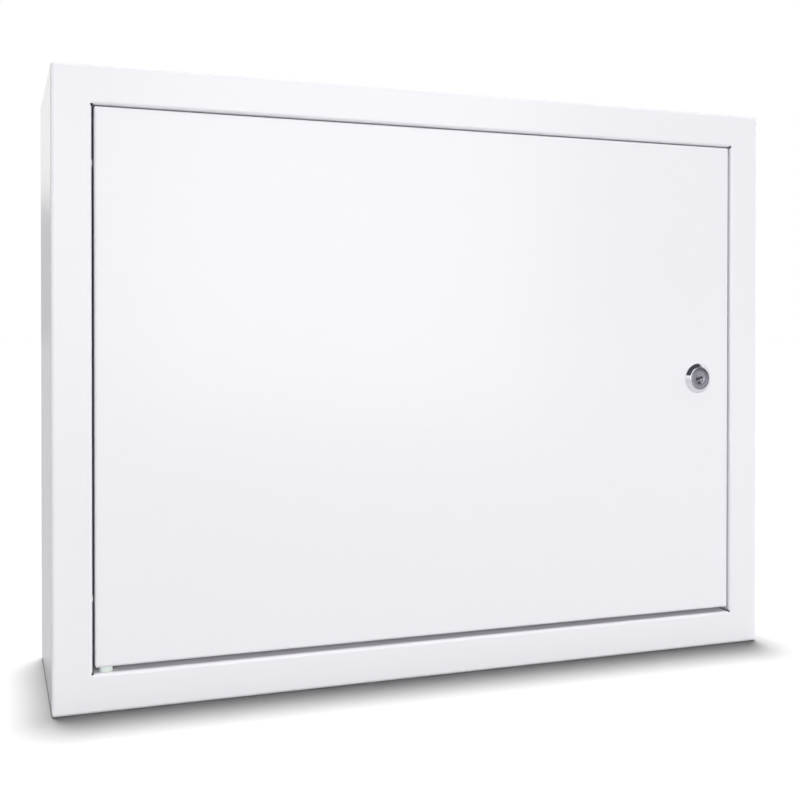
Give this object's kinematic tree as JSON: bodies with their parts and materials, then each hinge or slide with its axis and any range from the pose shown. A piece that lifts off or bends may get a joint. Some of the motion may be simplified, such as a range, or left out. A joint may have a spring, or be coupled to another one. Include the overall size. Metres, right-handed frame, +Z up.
{
  "type": "steel wall enclosure",
  "caption": "White folded steel wall box with a flush hinged door, corner pivots, a quarter-turn cam lock, a back panel with wall holes and a perforated mounting plate.",
  "frame": {"origin": "middle of the four wall holes, on the back panel's rear face, which lies on the wall", "axes": "+X to the right as seen from the front, +Y into the wall, +Z up"},
  "size_m": [0.52, 0.132, 0.402],
  "materials": {
    "white_paint": "white powder coat, semi-gloss",
    "zinc_plate": "bright zinc plate",
    "galvanised_sheet": "hot-dip galvanised sheet",
    "copper_flashed_steel": "copper-flashed weld stud",
    "black_rubber": "matt black rubber",
    "natural_nylon": "natural white nylon",
    "bright_steel": "plain steel",
    "spring_steel": "oiled spring steel",
    "chrome_plate": "bright chrome plate",
    "lock_face": "satin chrome plate"
  },
  "bodies": {
    "box": {"housing": "white_paint", "back_panel": "white_paint", "back_panel_studs": "copper_flashed_steel", "back_panel_nuts": "zinc_plate", "mounting_plate": "galvanised_sheet", "plate_studs": "zinc_plate", "plate_spacers": "zinc_plate", "plate_washers": "zinc_plate", "plate_nuts": "zinc_plate", "cable_grommets": "black_rubber", "door_buffers": "black_rubber", "body_earth_stud": "copper_flashed_steel", "body_earth_washers": "zinc_plate", "body_earth_nuts": "zinc_plate", "lower_pivot_pin": "bright_steel", "upper_pivot_bush": "natural_nylon"},
    "door": {"door_panel": "white_paint", "lower_pivot_bush": "natural_nylon", "upper_pivot_bracket": "zinc_plate", "upper_pivot_spring": "spring_steel", "door_earth_stud": "copper_flashed_steel", "door_earth_washers": "zinc_plate", "door_earth_nuts": "zinc_plate", "lock_barrel": "chrome_plate", "lock_washer": "zinc_plate", "lock_nut": "zinc_plate"},
    "lock_plug_and_cam": {"lock_plug": "lock_face", "lock_stop_washer": "zinc_plate", "lock_cam": "zinc_plate", "cam_spring_washer": "zinc_plate", "cam_screw": "zinc_plate"},
    "release_pin": {"upper_pivot_pin": "zinc_plate", "upper_pivot_clip": "spring_steel"}
  },
  "joints": [
    {"name": "door_swing", "type": "hinge", "parent": "box", "child": "door", "pos_m": [-0.227, -0.1245, 0], "axis": [0, 0, -1], "range_deg": [0, 115]},
    {"name": "lock_turn", "type": "hinge", "parent": "door", "child": "lock_plug_and_cam", "pos_m": [0.207, -0.1295, 0.0013], "axis": [0, -1, 0], "range_deg": [0, 90]},
    {"name": "hinge_pin_release", "type": "slide", "parent": "door", "child": "release_pin", "axis": [0, 0, -1], "range_m": [0, 0.006], "stiffness_N_per_m": 600, "springref_m": -0.004, "deforming": ["upper_pivot_spring"]}
  ]
}
